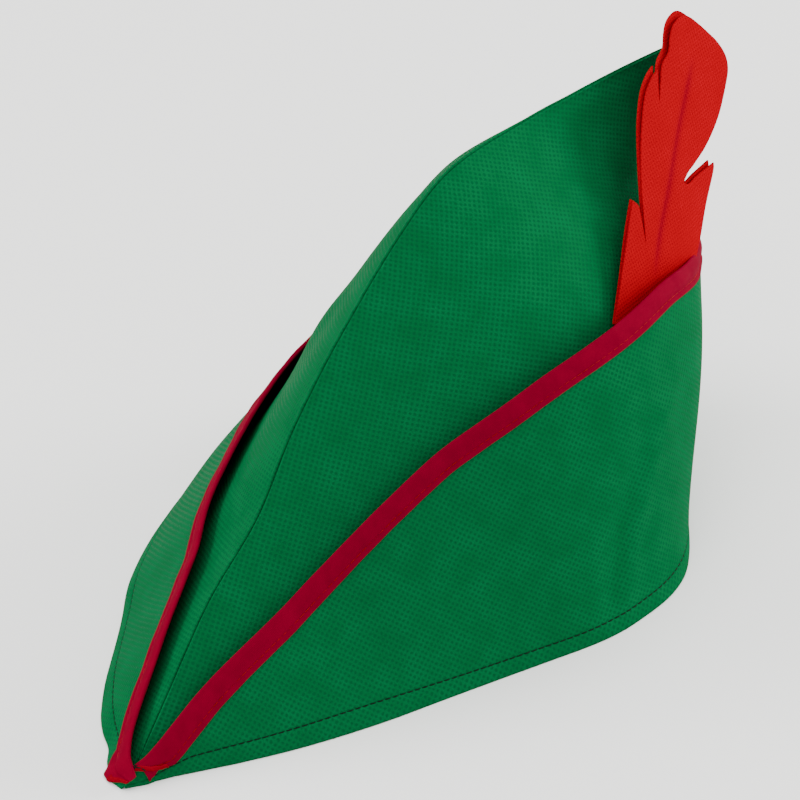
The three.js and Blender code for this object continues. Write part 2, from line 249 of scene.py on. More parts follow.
def crown_place(side, u, v):
    """A place on the crown's inner face, u from tip to back and v from rim to ridge."""
    u, v = np.broadcast_arrays(u, v)
    low, high = on_line(side["rim"], u), on_line(ridge, u)
    way = unit(on_line(side["rim"], u + 0.003) - on_line(side["rim"], u - 0.003))
    outward = side["sign"] * np.stack([way[..., 1], -way[..., 0], way[..., 0] * 0], -1)
    bow = np.sin(np.pi * np.maximum(v, 0) ** from_table(SWELL, side["pair"] + 1, u))
    swell = from_table(SWELL, side["pair"], u) * RIM_HALF_WIDTH * bow
    return low + (high - low) * v[..., None] + outward * swell[..., None]


def crown_normal(side, u, v):
    """The crown's own way out at a place."""
    u, v = np.broadcast_arrays(u, v)
    step = 0.004
    along = crown_place(side, np.minimum(1, u + step), v) - crown_place(side, np.maximum(0, u - step), v)
    up = crown_place(side, u, np.minimum(1, v + step)) - crown_place(side, u, np.clip(v, 0, 1) - step)
    return unit(np.cross(along, up)) * side["sign"]


def panel_height(side, u):
    """How far it is from the rim to the ridge."""
    return np.linalg.norm(crown_place(side, u, 0.0) - crown_place(side, u, 1.0), axis=-1)


def mitre(side, u, v):
    """The way out where the two sides meet, shorter on a sharp ridge, so that its edge stays low."""
    own = crown_normal(side, u, v)
    other = crown_normal(right if side is left else left, u, v)
    return (own + other) / (2 + np.sum(own * other, -1, keepdims=True))


# The way out that every layer shares at the tip.
TIP_OUT = np.array([0.12, -1.0, 0.0])


def stacked(side, u, v, distance, seamed=False):
    """A place at a distance out of the crown's inner face: level at the rim, shared by both sides at the tip
    and at the back, and mitred where the panel is seamed to the other at the ridge."""
    u, v = np.broadcast_arrays(u, v)
    own = crown_normal(side, u, v)
    high = panel_height(side, u)
    level = np.maximum(own[..., 0] ** 2 + own[..., 1] ** 2, 0.05)[..., None]
    flat = own * (1, 1, 0) / level
    out = flat + (own - flat) * np.clip(v * high / FOOT_HEIGHT, 0, 1)[..., None]
    if seamed:
        at_ridge = near((1 - v) * high, np.minimum(SEAM_BLEND, 0.5 * high))[..., None]
        out = out + (mitre(side, u, u * 0 + 1.0) - out) * at_ridge
    out = out + (mitre(side, u * 0 + 1.0, v) - out) * near(from_back(u), SEAM_BLEND)[..., None]
    out = out + (TIP_OUT - out) * near(u * RIM_ARC, TIP_BLEND)[..., None]
    sewn = (crown_place(left, 1.0, v) + crown_place(right, 1.0, v)) / 2 - crown_place(side, 1.0, v)
    sewn = sewn * near(from_back(u), SEWN_BLEND)[..., None]
    return crown_place(side, u, v) + sewn + out * np.asarray(distance)[..., None]


def cuff_top(side, u):
    """Where the cuff's top edge is, as a share of the panel. At the tip it stands above the crown."""
    high = panel_height(side, u)
    top = np.minimum(from_table(CUFF, side["pair"], u) * CUFF_HEIGHT, high - EDGE_BELOW) + EDGE_RAISED
    top = top + from_table(SEWN, side["single"], u)
    at_tip = from_table(TIP_EDGE, side["single"], np.minimum(u, TIP_EDGE[-1, 0]))
    return (at_tip + (top - at_tip) * ease((u - 0.18) / 0.09)) / high


def cuff_out(side, u, v):
    """How far out of the crown's inner face the cuff's cloth lies. Both cuffs meet at the back seam, the left
    one is full over the tucked feather, and the right one lies close to the crown behind its middle."""
    share = np.clip(v / cuff_top(side, u), 0, 1)
    at_back = near(from_back(u), CUFFS_JOIN)
    to_seam = (SEAM_OFF + SEAM_TOP_OFF * share) * at_back
    foot = FOOT_AT_TIP + (FOOT_BEHIND - FOOT_AT_TIP) * np.clip(u / FOLD_SHARE, 0, 1)
    foot = foot + TIP_ADDS + from_table(SEWN, side["single"] + 2, u) - TIP_ADDS * ease(u / 0.05)
    off = from_table(CUFF, side["pair"] + 1, u) * TUCK_SPACE
    if side is left:
        off = off * (1 - 0.14 * ease((u - 0.7) / 0.1))
        swell = 2.5 * hump(u, 0.745, 0.055) * np.sin(np.pi * share ** 0.6)
    else:
        swell = 1.5 * hump(u, 0.49, 0.05) * np.sin(np.pi * share)
    lies = CUFF_OFF + foot + (CUFF_TOP_OFF + off - foot) * share + swell
    if side is right:
        close = 1.3 + 0.35 * foot + (0.65 + 0.3 * off - 0.35 * foot) * share
        lies = lies + (close - lies) * ease((u - 0.54) / 0.14)
    return to_seam + lies * (1 - at_back)


def hem_share(side, u):
    """How far the hem is drawn together where the cuff is too low for it, at the tip."""
    return np.minimum(1, cuff_top(side, u) * panel_height(side, u) / FULL_HEM)


def wrinkles(places):
    """Soft dents of thin cloth that was folded flat: broad ones and a few short ones, in millimetres."""
    flat = places.reshape(-1, 3)
    broad = np.array([noise.noise(Vector(p / 46.0) + Vector((1, 0, 7))) for p in flat])
    short = np.array([noise.noise(Vector(p * (1, 1, 0.6) / 17.0) + Vector((3, 1, 0))) for p in flat])
    return (0.4 * broad + 0.16 * short).reshape(places.shape[:-1])


def laid_flat(places, rounds=25):
    """The panel's own cut, in millimetres: a grid of places laid flat with the least stretch."""
    rows, cols = places.shape[:2]
    count = rows * cols
    at = np.arange(count).reshape(rows, cols)
    a, b, c, d = (x.ravel() for x in (at[:-1, :-1], at[1:, :-1], at[1:, 1:], at[:-1, 1:]))
    corners = np.vstack([np.stack(t, 1) for t in ((a, b, c), (a, c, d), (a, b, d), (b, c, d))])
    p = places.reshape(-1, 3)[corners]
    x = unit(p[:, 1] - p[:, 0])
    across = p[:, 2] - p[:, 0]
    up = unit(across - x * np.sum(across * x, -1, keepdims=True))
    own = np.stack([np.stack([np.sum((p[:, k] - p[:, 0]) * w, -1) for w in (x, up)], -1)
                    for k in range(3)], 1)
    weight = np.zeros((len(corners), 3))
    for k in range(3):
        to, fro = own[:, (k + 1) % 3] - own[:, k], own[:, (k + 2) % 3] - own[:, k]
        turn = np.abs(to[:, 0] * fro[:, 1] - to[:, 1] * fro[:, 0])
        weight[:, (k + 1) % 3] = np.clip(np.sum(to * fro, -1) / np.maximum(turn, 1e-6), 0.02, 8)
    stiff = np.eye(count) * 1e-6
    for k in range(3):
        i, j, w = corners[:, k], corners[:, (k + 1) % 3], weight[:, (k + 2) % 3]
        np.add.at(stiff, (i, i), w)
        np.add.at(stiff, (j, j), w)
        np.add.at(stiff, (i, j), -w)
        np.add.at(stiff, (j, i), -w)
    solve = np.linalg.inv(stiff)
    along = np.linalg.norm(np.diff(places, axis=0), axis=-1)
    upward = np.linalg.norm(np.diff(places, axis=1), axis=-1)
    flat = np.stack([np.vstack([np.zeros(cols), np.cumsum(along, 0)]),
                     np.hstack([np.zeros((rows, 1)), np.cumsum(upward, 1)])], -1).reshape(-1, 2)
    for _ in range(rounds):
        now = flat[corners]
        lean = np.zeros((len(corners), 2, 2))
        for k in range(3):
            was, new = own[:, (k + 1) % 3] - own[:, k], now[:, (k + 1) % 3] - now[:, k]
            lean += weight[:, (k + 2) % 3, None, None] * new[:, :, None] * was[:, None, :]
        cosine, sine = lean[:, 0, 0] + lean[:, 1, 1], lean[:, 1, 0] - lean[:, 0, 1]
        size = np.maximum(np.hypot(cosine, sine), 1e-9)
        cosine, sine = cosine / size, sine / size
        pull = np.zeros((count, 2))
        for k in range(3):
            i, j, w = corners[:, k], corners[:, (k + 1) % 3], weight[:, (k + 2) % 3]
            was = own[:, (k + 1) % 3] - own[:, k]
            edge = np.stack([cosine * was[:, 0] - sine * was[:, 1],
                             sine * was[:, 0] + cosine * was[:, 1]], -1)
            np.add.at(pull, j, edge * w[:, None])
            np.add.at(pull, i, -edge * w[:, None])
        flat = solve @ pull
    return flat.reshape(rows, cols, 2)


def between_grid(grid, us, shares, u, share):
    """Values of a coarse grid at finer places, u and share."""
    i = np.clip(np.searchsorted(us, u, side="right") - 1, 0, len(us) - 2)
    j = np.clip(np.searchsorted(shares, share, side="right") - 1, 0, len(shares) - 2)
    s = np.clip((u - us[i]) / (us[i + 1] - us[i]), 0, 1)[..., None]
    t = np.clip((share - shares[j]) / (shares[j + 1] - shares[j]), 0, 1)[..., None]
    return ((grid[i, j] * (1 - s) + grid[i + 1, j] * s) * (1 - t)
            + (grid[i, j + 1] * (1 - s) + grid[i + 1, j + 1] * s) * t)


def new_piece(name, places, faces, finish, flat=None, marks=None):
    """A mesh piece of the hat, in metres, riding on the hat, with its own finish."""
    mesh = bpy.data.meshes.new(name)
    mesh.from_pydata(((places - ORIGIN) * MM).tolist(), [], [list(map(int, f)) for f in faces])
    mesh.update()
    if flat is not None:
        corner = np.zeros(len(mesh.loops), dtype=np.int32)
        mesh.loops.foreach_get("vertex_index", corner)
        cut = mesh.uv_layers.new(name="cloth")
        cut.data.foreach_set("uv", (flat[corner] * MM).astype(np.float32).ravel())
    # Marks are where painted shade is laid, such as along the feather's rib.
    if marks is not None:
        layer = mesh.attributes.new("pressed", "FLOAT", "POINT")
        layer.data.foreach_set("value", marks.astype(np.float32))
    mesh.shade_smooth()
    mesh.set_sharp_from_angle(angle=math.radians(60))
    mesh.materials.append(finish)
    piece = bpy.data.objects.new(name, mesh)
    bpy.context.scene.collection.objects.link(piece)
    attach(piece, "root")
    return piece


def sheet_faces(rows, cols, turned, first=0):
    """The faces of a closed sheet whose outer grid comes first and its inner grid after."""
    at = np.arange(rows * cols).reshape(rows, cols) + first
    back = at + rows * cols
    faces = []

    def four(a, b, c, d):
        quad = np.stack([x.ravel() for x in (a, b, c, d)], 1)
        faces.append(quad[:, ::-1] if turned else quad)

    four(at[:-1, :-1], at[1:, :-1], at[1:, 1:], at[:-1, 1:])
    four(back[:-1, :-1], back[:-1, 1:], back[1:, 1:], back[1:, :-1])
    four(at[:-1, 0], back[:-1, 0], back[1:, 0], at[1:, 0])
    four(at[1:, -1], back[1:, -1], back[:-1, -1], at[:-1, -1])
    four(at[0, 1:], back[0, 1:], back[0, :-1], at[0, :-1])
    four(at[-1, :-1], back[-1, :-1], back[-1, 1:], at[-1, 1:])
    return np.vstack(faces)


def cloth_sheet(kind, side, middle, thickness, finish, flat, lowest=0.0):
    """A closed sheet of cloth round a grid of middle places on one side of the hat."""
    turned = side is right
    along, up = np.gradient(middle, axis=0), np.gradient(middle, axis=1)
    out = unit(np.cross(along, up)) * (-1 if turned else 1)
    faces = sheet_faces(*middle.shape[:2], turned)
    places = np.vstack([(middle + out * thickness / 2).reshape(-1, 3),
                        (middle - out * thickness / 2).reshape(-1, 3)])
    places[:, 2] = np.maximum(places[:, 2], lowest)
    cut = np.vstack([flat.reshape(-1, 2)] * 2)
    return new_piece(kind + side["name"], places, faces, finish, flat=cut)


def rolled(distance, radius):
    """How deep a cloth edge turns in at a distance from the seam, like a quarter of a circle."""
    x = np.clip(1 - distance / radius, 0, 1)
    return radius * (1 - np.sqrt(np.maximum(1 - x * x, 0)))


# How far the rows next to a seam are from it.
SEAM_STEPS = np.array([0, 0.12, 0.25, 0.4, 0.6, 0.85, 1.2, 1.7, 2.4, 3.5, 5.0, 7.5])


def columns(first, count):
    """Places from the tip to the back, closer together at the back seam."""
    close = 1 - SEAM_STEPS[:10] / RIM_ARC
    return np.concatenate([np.linspace(first, close[-1], count, endpoint=False), close[::-1]])


def back_lip(side, u, v):
    """How a panel's edge rolls in at the back seam and keeps to its own side."""
    to_back = from_back(u)
    shift = -unit(mitre(side, u * 0 + 1.0, v)) * rolled(to_back, 0.8)[..., None]
    shift[..., 0] += side["sign"] * 0.28 * near(to_back, 1.5)
    return shift


def ridge_lip(side, u, to_ridge):
    """How a panel's edge rolls in at the ridge seam and keeps to its own side, with the faint line of the
    allowance's cut edge beside it."""
    down = unit(mitre(side, u, u * 0 + 1.0))
    own = crown_normal(side, u, u * 0 + 1.0)
    aside = unit(own - down * np.sum(own * down, -1, keepdims=True))
    dent = -down * (rolled(to_ridge, 0.9) + 0.14 * hump(to_ridge, 2.6, 0.45))[..., None]
    return dent + aside * (0.3 * near(to_ridge, 1.5))[..., None]


def crown_cloth(side, finish):
    """One crown panel from the rim to the ridge seam, with its seam allowance turned in."""
    us = columns(TIP_SHARE / 2, 250)
    high = panel_height(side, us)[:, None]
    # The panel is low near the tip, so its rows at the seam are drawn together there.
    tight = np.minimum(1, high / 24)
    close = SEAM_STEPS * tight
    rest = np.linspace(0, 1, 72, endpoint=False)[None, :]
    v = np.hstack([rest * (1 - close[:, -1:] / high), 1 - close[:, ::-1] / high])
    u = np.repeat(us[:, None], v.shape[1], 1)
    to_ridge = (1 - v) * high
    base = stacked(side, u, v, v * 0 + CROWN_OFF, seamed=True)
    base[..., 2] -= from_table(SEWN, RIDGE_SAG, u) * near(to_ridge, RIDGE_SAGS)
    fade = ease(to_ridge / SEAM_FADE) * ease(from_back(u) / SEAM_FADE)
    fade = fade * ease(v * high / RIM_FADE) * ease(u * RIM_ARC / TIP_FADE)
    out = crown_normal(side, u, v)
    middle = base + out * (wrinkles(base) * fade)[..., None]
    if side is right:
        # Full under the middle of the ridge, with a hollow behind it.
        full = 2.0 * hump(u, 0.56, 0.036) * hump(v, 0.64, 0.12)
        hollow = 3.0 * hump(u, 0.662, 0.035) * hump(v, 0.83, 0.1)
        middle += out * ((full - hollow) * ease(to_ridge / 8))[..., None]
    middle += ridge_lip(side, u, to_ridge / tight) + back_lip(side, u, v)
    up = unit(mitre(side, u[:, -1:], v[:, -1:] * 0 + 1.0))
    allowance = [middle[:, -1:] - up * deep * tight[..., None] for deep in (0.6, 1.6, 3.2)]
    middle = np.concatenate([middle] + allowance, 1)
    shares = np.linspace(0, 1, 20)
    coarse_us = np.linspace(TIP_SHARE / 2, 1, 56)
    cut = laid_flat(stacked(side, coarse_us[:, None], shares[None, :], np.full((56, 20), CROWN_OFF)))
    flat = between_grid(cut, coarse_us, shares, u, v)
    beyond = [flat[:, -1:] + (flat[:, -1:] - flat[:, -6:-5]) * far for far in (0.7, 2.0, 4.0)]
    flat = np.concatenate([flat] + beyond, 1)
    piece = cloth_sheet("crown_cloth_", side, middle, CLOTH, finish, flat, lowest=CROWN_ENDS)
    return piece, cut


# How high the cuff's lowest rows are: close at the fold and at the stitch line.
HEM_STEPS = np.array([0, 0.15, 0.3, 0.5, 0.75, 1.0, 1.5, 2.1, 2.8, 3.4, 3.8, 4.1, HEM_AT, 4.7, 5.0, 5.4,
                      6.1, 7.5])


# The left cuff's crease: where it starts at the rim, and how far back it leans for a millimetre up.
CREASE_AT = 0.55
CREASE_LEAN = 0.0017


def cuff_middle(side, u, v, extra=0.0):
    """The middle of the cuff's cloth, with the folded rim, the hem's groove, dents and the soft crease."""
    height = v * panel_height(side, u)
    place = stacked(side, u, v, cuff_out(side, u, v) + extra)
    out = crown_normal(side, u, np.clip(v, 0, 1))
    level = unit(out * (1, 1, 0))
    fade = ease(height / RIM_FADE) * ease(from_back(u) / SEAM_FADE) * ease(u * RIM_ARC / TIP_FADE)
    dent = wrinkles(stacked(side, u, v, v * 0 + CROWN_OFF)) * fade * (1 if side is left else 0.5)
    from_rim = height / hem_share(side, u)
    hem = 0.14 * np.sin(np.pi * np.clip(from_rim / HEM_AT, 0, 1)) - 0.34 * hump(from_rim, HEM_AT, 0.5)
    if side is left:
        past_crease = u - CREASE_AT - CREASE_LEAN * height
        crease = 0.9 * hump(past_crease, -0.014, 0.013) - 0.5 * hump(past_crease, 0.012, 0.012)
        dent = dent - crease * ease(height / 14) * ease((84 - height) / 30)
    place = place + out * dent[..., None] + level * (hem - rolled(from_rim, 0.8))[..., None]
    return place + back_lip(side, u, np.clip(v, 0, 1))


def cuff_cloth(side, finish):
    """One cuff from its folded rim to the edge that the tape covers."""
    us = np.concatenate([np.linspace(0.002, 0.03, 16, endpoint=False), columns(0.03, 244)])
    top = (cuff_top(side, us) * panel_height(side, us))[:, None]
    low = HEM_STEPS * hem_share(side, us)[:, None]
    rest = np.linspace(0, 1, 44)[None, 1:]
    height = np.hstack([low, low[:, -1:] + (top - low[:, -1:]) * rest])
    v = height / panel_height(side, us)[:, None]
    u = np.repeat(us[:, None], v.shape[1], 1)
    middle = cuff_middle(side, u, v)
    shares = np.linspace(0, 1, 16)
    coarse_us = np.linspace(0.002, 1, 56)
    coarse_v = shares[None, :] * cuff_top(side, coarse_us)[:, None]
    coarse_u = np.repeat(coarse_us[:, None], 16, 1)
    cut = laid_flat(stacked(side, coarse_u, coarse_v, cuff_out(side, coarse_u, coarse_v)))
    flat = between_grid(cut, coarse_us, shares, u, height / top)
    return cloth_sheet("cuff_cloth_", side, middle, CLOTH, finish, flat), cut


def tape_section():
    """The folded tape's section, inner leg first: how far down the cuff and how far out of its cloth."""
    inner = np.linspace(TAPE_WIDTH + 0.9, 0.3, 8)
    turn = np.radians(np.linspace(-90, 90, 9))
    seam = STITCH_SHARE * TAPE_WIDTH
    outer = np.concatenate([np.linspace(0.25, seam - 0.6, 7), seam + np.array([-0.35, -0.15, 0, 0.15, 0.35]),
                            [0.86 * TAPE_WIDTH, 0.94 * TAPE_WIDTH, TAPE_WIDTH]])
    puff = 0.3 * np.sin(np.pi * np.clip(outer / seam, 0, 1))
    pinch = -STITCH_PINCH * hump(outer, seam, 0.3)
    flare = 0.22 * ease((outer / TAPE_WIDTH - STITCH_SHARE) / 0.16)
    down = np.concatenate([inner, -(TAPE_LIES + 0.15) * np.cos(turn), outer])
    out = np.concatenate([-TAPE_LIES + inner * 0, TAPE_LIES * np.sin(turn), TAPE_LIES + puff + pinch + flare])
    return down, out


def tape_end(side, u):
    """How high above the rim the tape's cut end lies at the tip: level on the left, falling on the right."""
    if side is left:
        return TAPE_END + 0 * u
    return 0.3 + (TAPE_END - 0.3) * np.clip((0.0097 - u) / 0.0067, 0, 1)


def tape_middle(side, u, down, out):
    """The middle of the tape, down from the cuff's edge and out of its cloth, and shortened at the tip."""
    high = panel_height(side, u)
    top = cuff_top(side, u)
    reach = np.clip((top * high - tape_end(side, u)) / TAPE_WIDTH, 0, 1)
    v = top - down * np.where(down > 0, reach, 1) / high
    return cuff_middle(side, u, v, out)


def binding(side, finish):
    """The tape folded over a cuff's edge, from the tip to the back seam, slightly rippled by its stitches."""
    first = 0.0122 if side is left else 0.003
    us = np.concatenate([np.linspace(first, 0.045, 30, endpoint=False), columns(0.045, 285)])
    down, out = tape_section()
    u = np.repeat(us[:, None], len(down), 1)
    ripple = 0.12 * np.sin(us * RIM_ARC / 2.6) * np.sin(us * RIM_ARC / 11.0 + 1)
    middle = tape_middle(side, u, down + 0 * u, out + ripple[:, None] * (out > 0))
    run = np.linalg.norm(np.diff(middle[:, len(down) // 2], axis=0), axis=1)
    width = np.concatenate([[0], np.cumsum(np.hypot(np.diff(down), np.diff(out)))])
    flat = np.stack(np.meshgrid(np.concatenate([[0], np.cumsum(run)]), width, indexing="ij"), -1)
    return cloth_sheet("binding_tape_", side, middle, TAPE, finish, flat), flat


# A stitch: the share of its length, how far it rises out of the cloth and how thick it is there.
STITCH = [(0.0, -0.9, 0.55), (0.1, 0.05, 0.85), (0.3, 0.45, 1.0), (0.7, 0.45, 1.0), (0.9, 0.05, 0.85),
          (1.0, -0.9, 0.55)]
THREAD_SIDES = 6


def thread_row(name, places, out, stitch, finish):
    """A row of sewn stitches along a line of places: each rises out of the cloth and dips back in."""
    length, gap, thick = stitch
    run = np.concatenate([[0], np.cumsum(np.linalg.norm(np.diff(places, axis=0), axis=1))])

    def at(values, x):
        return np.stack([np.interp(x, run, values[:, k]) for k in range(3)], -1)

    turn = np.linspace(0, 2 * np.pi, THREAD_SIDES, endpoint=False)[:, None]
    rings = []
    for start in np.arange(0.3, run[-1] - length, length + gap):
        for share, rise, fat in STITCH:
            x = start + share * length
            normal = unit(at(out, x))
            way = unit(at(places, x + 0.2) - at(places, x - 0.2))
            centre = at(places, x) + normal * (rise * thick / 2)
            spoke = np.cos(turn) * np.cross(way, normal) + np.sin(turn) * normal
            rings.append(centre + spoke * fat * thick / 2)
    faces = []
    for first in range(0, len(rings) * THREAD_SIDES, len(STITCH) * THREAD_SIDES):
        last = first + (len(STITCH) - 1) * THREAD_SIDES
        for ring in range(first, last, THREAD_SIDES):
            for j in range(THREAD_SIDES):
                a, b = ring + j, ring + (j + 1) % THREAD_SIDES
                faces.append((a, b, b + THREAD_SIDES, a + THREAD_SIDES))
        faces.append(range(first + THREAD_SIDES - 1, first - 1, -1))
        faces.append(range(last, last + THREAD_SIDES))
    return new_piece(name, np.vstack(rings), faces, finish)


def hem_stitches(side, finish):
    """The dark stitch line along the rim."""
    us = np.linspace(0.02, 0.998, 500)
    v = HEM_AT * hem_share(side, us) / panel_height(side, us)
    out = unit(crown_normal(side, us, v) * (1, 1, 0))
    places = cuff_middle(side, us, v) + out * CLOTH / 2
    return thread_row("hem_stitches_" + side["name"], places, out, HEM_STITCH, finish)


def binding_stitches(side, finish):
    """The red stitch line that holds the tape, pulled a little into it."""
    us = np.linspace(0.022, 0.998, 500)
    down = np.full(len(us), STITCH_SHARE * TAPE_WIDTH)
    lies = np.full(len(us), TAPE_LIES - STITCH_PINCH)
    middle = tape_middle(side, us, down, lies)
    out = unit(tape_middle(side, us, down, lies + 1.0) - middle)
    return thread_row("binding_stitches_" + side["name"], middle + out * TAPE / 2, out, TAPE_STITCH, finish)


def turned_end(side, finish, corner_finish):
    """The tape's cut end at the tip, turned back, its brighter red a painted highlight on the fold, and on
    the left the corner of it that hangs below."""
    us = np.linspace(0.0124, 0.041, 24) if side is left else np.linspace(0.0032, 0.0112, 16)
    width = np.linspace(-0.25, 0.95, 6)
    u = np.repeat(us[:, None], len(width), 1)
    height = tape_end(side, u) + width + 0.12 * np.sin(u * 700)
    puff = 0.75 + 0.35 * np.sin(np.pi * (width + 0.25) / 1.2)[None, :] + 0 * u
    middle = cuff_middle(side, u, height / panel_height(side, u), puff)
    flat = np.stack(np.broadcast_arrays(us[:, None] * RIM_ARC, width[None, :]), -1)
    # The turned end's brighter red finish is a painted highlight on the fold.
    ends = [cloth_sheet("tape_end_", side, middle, TAPE, finish, flat)]
    if side is left:
        s, t = np.meshgrid(np.linspace(0, 1, 8), np.linspace(0, 0.94, 7), indexing="ij")
        u = (0.0162 + 0.0166 * s) * (1 - t) + 0.0160 * t
        height = (TAPE_END + 0.1 * s) * (1 - t) + 0.9 * t
        middle = cuff_middle(side, u, height / panel_height(side, u), 0.62 + 0.25 * t)
        flat = np.stack([u * RIM_ARC, height], -1)
        ends.append(cloth_sheet("tape_corner_", side, middle, TAPE, corner_finish, flat))
    return ends


def tip_knot(finish):
    """The dark thread's knotted end, where the two bindings meet at the tip."""
    way = np.array([(0.0122, 3.5), (0.0142, 5.0), (0.0150, 4.5), (0.0132, 4.2), (0.0165, 3.8),
                    (0.0185, 3.1)])
    steps = np.linspace(0, len(way) - 1, 60)
    u, height = (np.interp(steps, np.arange(len(way)), way[:, k]) for k in (0, 1))
    middle = cuff_middle(left, u, height / panel_height(left, u), 1.15)
    out = np.tile(unit(np.array([0.75, -0.6, 0.3])), (len(steps), 1))
    return thread_row("tip_knot", middle, out, KNOT_STITCH, finish)


def feather_frame():
    """The feather's place and its own axes: across it, up along it and out of its face."""
    tilt, lean = math.radians(FEATHER_TILT), math.radians(FEATHER_LEAN)
    face = np.array([math.cos(tilt), 0, math.sin(tilt)])
    steepest = np.array([-math.sin(tilt), 0, math.cos(tilt)])
    up = steepest * math.cos(lean) + np.cross(steepest, face) * math.sin(lean)
    u = np.array([FEATHER_AT])
    top = np.minimum(from_table(CUFF, 1, u) * CUFF_HEIGHT / panel_height(left, u), 1)
    place = stacked(left, u, top, np.array([CROWN_WALL + FEATHER_SLACK + FEATHER_STACK]))[0]
    return place, np.cross(up, face), up, face


def feather_outline():
    """The cut outline in millimetres: smooth runs between its sharp barb tips and cuts."""
    rows = [(x * FEATHER_WIDTH, y * FEATHER_LENGTH, corner) for x, y, corner in FEATHER]
    corners = [i for i, row in enumerate(rows) if row[2]]
    outline = []
    for a, b in zip(corners, corners[1:] + [corners[0] + len(rows)]):
        run = np.array([rows[i % len(rows)][:2] + (0,) for i in range(a, b + 1)])
        line = line_through(run)
        count = max(2, int(line[0][-1] / 0.6))
        outline.append(on_line(line, np.arange(count) / count)[:, :2])
    return np.vstack(outline)


def rib_line(y):
    """Where the pressed rib runs up the feather."""
    return -1.9 - 0.085 * y + 0.00125 * y ** 2 - 0.0000035 * y ** 3


def inside(outline, spots):
    """Which spots lie within the outline, from how often a level line out of each crosses it."""
    x, y = spots[:, 0], spots[:, 1]
    within = np.zeros(len(spots), dtype=bool)
    for (ax, ay), (bx, by) in zip(outline, np.roll(outline, -1, 0)):
        crosses = (ay > y) != (by > y)
        within ^= crosses & (x < ax + (bx - ax) * (y - ay) / (by - ay + 1e-12))
    return within


def cut_out(outline):
    """The outline filled with small triangles: their flat places and their faces, all turned one way."""
    low, top = outline.min(0), outline.max(0)
    spots = np.array([(x, y) for j, y in enumerate(np.arange(low[1], top[1], 0.9))
                      for x in np.arange(low[0] + 0.5 * (j % 2), top[0], 1.0)])
    gap = np.min(np.linalg.norm(spots[:, None] - outline[None], axis=-1), axis=1)
    spots = spots[inside(outline, spots) & (gap > 0.5)]
    points = [Vector(p) for p in np.vstack([outline, spots])]
    made = geometry.delaunay_2d_cdt(points, [], [list(range(len(outline)))], 1, 1e-5)
    flat = np.array([tuple(p) for p in made[0]])
    faces = np.array([f for f in made[2] if len(f) == 3])
    a, b, c = flat[faces[:, 0]], flat[faces[:, 1]], flat[faces[:, 2]]
    turned = (b - a)[:, 0] * (c - a)[:, 1] - (b - a)[:, 1] * (c - a)[:, 0] < 0
    faces[turned] = faces[turned][:, ::-1]
    return flat, faces


def two_sided(faces, count):
    """The faces of a closed sheet whose second side has the same places, count further on."""
    edges = np.sort(np.vstack([faces[:, [0, 1]], faces[:, [1, 2]], faces[:, [2, 0]]]), axis=1)
    once, times = np.unique(edges, axis=0, return_counts=True)
    rim = {tuple(e) for e in once[times == 1]}
    solid = [tuple(f) for f in faces] + [tuple(f[::-1] + count) for f in faces]
    for f in faces:
        for i, j in ((f[0], f[1]), (f[1], f[2]), (f[2], f[0])):
            if (min(i, j), max(i, j)) in rim:
                solid.append((j, i, i + count, j + count))
    return solid


def feather_layer(name, shift, depth, seed, finish):
    """One layer of the feather: cut cloth with a pressed rib, bent across its width and a little wavy."""
    place, across, up, face = feather_frame()
    outline = feather_outline()
    flat, faces = cut_out(outline)
    x, y = flat[:, 0], flat[:, 1]
    aside = x - rib_line(y)
    rib = 0.55 * hump(aside, 0, 1.5) + 0.45 * hump(aside, 0, 0.45)
    rib = rib * ease((y - 2) / 16) * ease((80 - y) / 14)
    wave = np.array([noise.noise(Vector((px / 16, py / 24, seed))) for px, py in flat])
    rise = depth - x ** 2 / (2 * FEATHER_BEND) + 0.7 * wave * ease(y / 20) - 0.35 * rib
    rise += 1.6 * ease((y - 52) / 40) * ((x + 4) / 18) ** 2
    swing = np.clip((y / FEATHER_LENGTH)[:, None], 0, 1) * shift
    sheet = place + (x[:, None] - swing) * across + (y[:, None] + swing / 2) * up
    sheet = sheet + (rise[:, None] - 0.5 * swing) * face
    places = np.vstack([sheet + face * CLOTH / 2, sheet - face * CLOTH / 2])
    # The rib mask goes with the piece as its marks, where painted shade is laid along the rib.
    piece = new_piece(name, places, two_sided(faces, len(flat)), finish,
                      flat=np.vstack([flat, flat]), marks=np.tile(rib, 2))
    after = np.roll(outline, -1, 0)
    area = 0.5 * abs(np.sum(outline[:, 0] * after[:, 1] - outline[:, 1] * after[:, 0]))
    return piece, outline.max(0) - outline.min(0), area


def colour(code):
    """An sRGB hex colour as linear red, green, blue and a full alpha."""
    parts = [int(code[i:i + 2], 16) / 255 for i in (1, 3, 5)]
    return [c / 12.92 if c <= 0.04045 else ((c + 0.055) / 1.055) ** 2.4 for c in parts] + [1.0]


def add(finish, kind, settings=None, links=None):
    """Adds a node to a finish, with its settings, its values by socket and its links from other sockets."""
    node = finish.node_tree.nodes.new(kind)
    for name, value in (settings or {}).items():
        if isinstance(name, int) or name in node.inputs and not hasattr(node, name):
            node.inputs[name].default_value = value
        else:
            setattr(node, name, value)
    for name, source in (links or {}).items():
        finish.node_tree.links.new(source, node.inputs[name])
    return node


def per_mm(size):
    """The scale of a pattern that repeats at this size in millimetres."""
    return 1 / (size * MM)


def new_finish(name):
    finish = bpy.data.materials.new(name)
    finish.use_nodes = True
    finish.node_tree.nodes.clear()
    return finish


